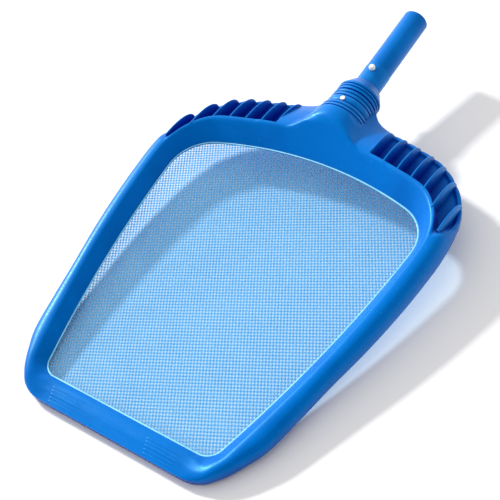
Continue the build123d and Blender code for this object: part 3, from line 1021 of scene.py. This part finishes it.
def moulded_plastic(name, blues, roughness, grain):
    """Moulded polypropylene: cloudy colour, painted shade in its corners and crevices, rubbed pale edges, a
    pebbled skin.
    """
    painted_shade, deep, middle, pale = blues
    nodes = Nodes(name, roughness, tint=GLOSS_TINT)
    nodes.shader.inputs["IOR"].default_value = 1.36
    body = nodes.ramp(nodes.noise(14.0, 3.0), [(0.3, deep), (0.55, middle), (0.8, middle)])
    specks = nodes.spread(nodes.noise(420.0, 2.0), 0.66, 0.78, 0.0, 0.35)
    body = nodes.mix(specks, body, pale)
    sharpness = nodes.add("ShaderNodeNewGeometry").outputs["Pointiness"]
    edges = nodes.spread(sharpness, 0.515, 0.6, 0.0, 0.32)
    patches = nodes.spread(nodes.noise(90.0, 5.0), 0.35, 0.7, 0.25, 1.0)
    rubbed = nodes.mix(nodes.product(edges, patches), body, pale)
    # Painted shade: an occlusion test darkens the colour towards the first, darkest blue wherever other
    # surfaces, the floor among them, lie close, as in corners, crevices and the pockets.
    painted_shade_test = nodes.add("ShaderNodeAmbientOcclusion", samples=8)
    painted_shade_test.inputs["Distance"].default_value = PAINTED_SHADE_REACH
    unshaded_share = nodes.spread(painted_shade_test.outputs["AO"], 0.3, 0.92, 0.0, 1.0)
    colour = nodes.mix(unshaded_share, painted_shade, rubbed)
    scratches = nodes.noise(60.0, 6.0, 0.7, nodes.stretched((1.0, 14.0, 1.0), (0.0, 0.0, 0.5)))
    rough = nodes.spread(scratches, 0.35, 0.75, roughness - 0.06, roughness + 0.16)
    pebble = nodes.bump(nodes.noise(grain, 2.0), 0.12, 0.0004)
    flow = nodes.bump(nodes.noise(26.0, 2.0), 0.1, 0.0015, before=pebble)
    return nodes.finish(colour, rough, flow)


def net_weave():
    """Translucent monofilament thread: tinted, see-through, with a twist along each thread."""
    nodes = Nodes("net_weave", 0.42, specular=0.35, tint=(0.4, 0.8, 1.0))
    blues = [(0.3, (0.1, 0.4, 0.78)), (0.55, (0.16, 0.5, 0.88)), (0.8, (0.22, 0.58, 0.93))]
    tint = nodes.ramp(nodes.noise(24.0, 3.0), blues)
    twist = nodes.wave(620.0, nodes.along(THREAD_ANGLES[0]), 1.2)
    colour = nodes.mix(nodes.spread(twist, 0.0, 1.0, 0.0, 0.22), tint, (0.4, 0.72, 0.97))
    rough = nodes.spread(nodes.noise(700.0, 2.0), 0.3, 0.7, 0.32, 0.52)
    material = nodes.finish(colour, rough, nodes.bump(twist, 0.25, 0.0002))
    clear = nodes.add("ShaderNodeBsdfTransparent")
    clear.inputs["Color"].default_value = (0.36, 0.64, 0.83, 1.0)
    both = nodes.add("ShaderNodeMixShader")
    both.inputs["Fac"].default_value = NET_CLEARNESS
    nodes.link(nodes.shader.outputs["BSDF"], both.inputs[1])
    nodes.link(clear.outputs["BSDF"], both.inputs[2])
    nodes.link(both.outputs["Shader"], nodes.tree.nodes["Material Output"].inputs["Surface"])
    return material


def hem_fabric():
    """The welded band: the net's weave pressed flat under a pale film."""
    nodes = Nodes("hem_band", 0.38, specular=0.45, sheen=0.1)
    warp, weft = [nodes.wave(210.0, nodes.along(angle), 0.4) for angle in THREAD_ANGLES]
    weave = nodes.product(warp, weft)
    tint = nodes.ramp(nodes.noise(40.0, 3.0), [(0.3, (0.12, 0.52, 0.85)), (0.7, (0.24, 0.68, 0.95))])
    colour = nodes.mix(nodes.spread(weave, 0.0, 1.0, 0.0, 0.3), tint, (0.45, 0.85, 1.0))
    rough = nodes.spread(nodes.noise(300.0, 3.0), 0.3, 0.7, 0.3, 0.5)
    return nodes.finish(colour, rough, nodes.bump(weave, 0.35, 0.0003))


def steel(name, tone, roughness, brush):
    """Stainless steel with drawing lines and slight tarnish."""
    nodes = Nodes(name, roughness, metallic=1.0)
    lines = nodes.noise(240.0, 4.0, 0.6, nodes.stretched(brush))
    tarnished = tuple(c * 0.72 for c in tone)
    tint = nodes.ramp(nodes.noise(120.0, 4.0), [(0.3, tarnished), (0.7, tone)])
    rough = nodes.spread(lines, 0.3, 0.7, roughness - 0.08, roughness + 0.14)
    return nodes.finish(tint, rough, nodes.bump(lines, 0.2, 0.0001))


def white_nylon():
    """Satin nylon, a little uneven and scuffed."""
    nodes = Nodes("white_nylon", 0.4, specular=0.45)
    tint = nodes.ramp(nodes.noise(180.0, 4.0), [(0.3, (0.78, 0.8, 0.8)), (0.7, (0.9, 0.91, 0.9))])
    scuffs = nodes.spread(nodes.noise(900.0, 4.0), 0.6, 0.75, 0.0, 0.3)
    colour = nodes.mix(scuffs, tint, (0.55, 0.6, 0.66))
    rough = nodes.spread(nodes.noise(500.0, 3.0), 0.3, 0.7, 0.3, 0.5)
    return nodes.finish(colour, rough, nodes.bump(nodes.noise(1600.0, 2.0), 0.15, 0.0001))


def floor_paper():
    """Pale grey paper with a faint tooth."""
    nodes = Nodes("floor_paper", 0.9, specular=0.1)
    tint = nodes.ramp(nodes.noise(3.0, 3.0), [(0.3, (0.86, 0.86, 0.87)), (0.7, (0.88, 0.88, 0.89))])
    return nodes.finish(tint, None, nodes.bump(nodes.noise(900.0, 3.0), 0.1, 0.0001))


def dress(node, material):
    """Gives a CAD node that stays in view its finished material."""
    for material_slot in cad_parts[node].material_slots:
        material_slot.material = material


def build_camera():
    """The camera, with its place in the net's coordinates."""
    data = bpy.data.cameras.new("camera")
    data.sensor_width = 36.0
    data.lens = CAMERA_LENS
    data.clip_start = 0.05
    camera = bpy.data.objects.new("camera", data)
    bpy.context.scene.collection.objects.link(camera)
    camera.location = row([CAMERA_PLACE])[0]
    camera.rotation_euler = Euler([math.radians(a) for a in CAMERA_TURN])
    bpy.context.scene.camera = camera


def build_floor():
    """A wide pale floor just under the lip's front edge, sloping down below the neck."""
    slope = (FLOOR_REAR[1] - FLOOR_FRONT[1]) / (FLOOR_REAR[0] - FLOOR_FRONT[0])
    corners = []
    for x, y in ((-1, -1), (1, -1), (1, 1), (-1, 1)):
        back = FLOOR_REACH * y
        corners.append((FLOOR_REACH * x, back, FLOOR_FRONT[1] + slope * (back - FLOOR_FRONT[0])))
    make_object("floor", corners, [(0, 1, 2, 3)], floor_paper())


def build_key_light():
    """One broad light, low from the left."""
    data = bpy.data.lights.new("key", "AREA")
    data.energy = KEY_POWER
    data.shape = "RECTANGLE"
    data.size, data.size_y = KEY_SIZE
    key = bpy.data.objects.new("key", data)
    key.location = KEY_WAY.normalized() * KEY_DISTANCE
    key.rotation_euler = KEY_WAY.to_track_quat("Z", "Y").to_euler()
    bpy.context.scene.collection.objects.link(key)


def build_sky():
    """A pale sky, brighter on one side."""
    world = bpy.data.worlds.new("studio")
    world.use_nodes = True
    tree = world.node_tree
    direction = tree.nodes.new("ShaderNodeTexCoord")
    toward = tree.nodes.new("ShaderNodeVectorMath")
    toward.operation = "DOT_PRODUCT"
    toward.inputs[1].default_value = SKY_WAY
    tree.links.new(direction.outputs["Generated"], toward.inputs[0])
    sky = tree.nodes.new("ShaderNodeMapRange")
    sky.inputs["From Min"].default_value = -1.0
    sky.inputs["From Max"].default_value = 1.0
    sky.inputs["To Min"].default_value = SKY_LOW
    sky.inputs["To Max"].default_value = SKY_HIGH
    tree.links.new(toward.outputs["Value"], sky.inputs["Value"])
    background = tree.nodes["Background"]
    background.inputs["Color"].default_value = SKY_COLOUR
    tree.links.new(sky.outputs["Result"], background.inputs["Strength"])
    bpy.context.scene.world = world


def build():
    """Every piece of the skimmer, then the floor and the light."""
    build_camera()
    build_frame(moulded_plastic("frame_plastic", FRAME_BLUES, 0.34, 1300.0))
    dress("pole_spigot", moulded_plastic("spigot_plastic", SPIGOT_BLUES, 0.36, 900.0))
    dress("retaining_ring", moulded_plastic("ring_plastic", RING_BLUES, 0.5, 700.0))
    spring_steel = steel("spring_steel", (0.6, 0.6, 0.6), 0.28, (1.0, 0.08, 1.0))
    build_spring_half("spring_upper", 1, spring_steel)
    build_spring_half("spring_lower", -1, spring_steel)
    build_net(net_weave(), build_hem(hem_fabric()))
    build_screws(steel("screw_steel", (0.7, 0.7, 0.69), 0.3, (0.3, 1.0, 1.0)))
    nylon = white_nylon()
    build_pin(nylon)
    build_button("button_top", "upper_button", 1, nylon)
    build_button("button_under", "lower_button", -1, nylon)
    build_floor()
    build_key_light()
    build_sky()
    bpy.context.scene.view_settings.view_transform = "Standard"


build()
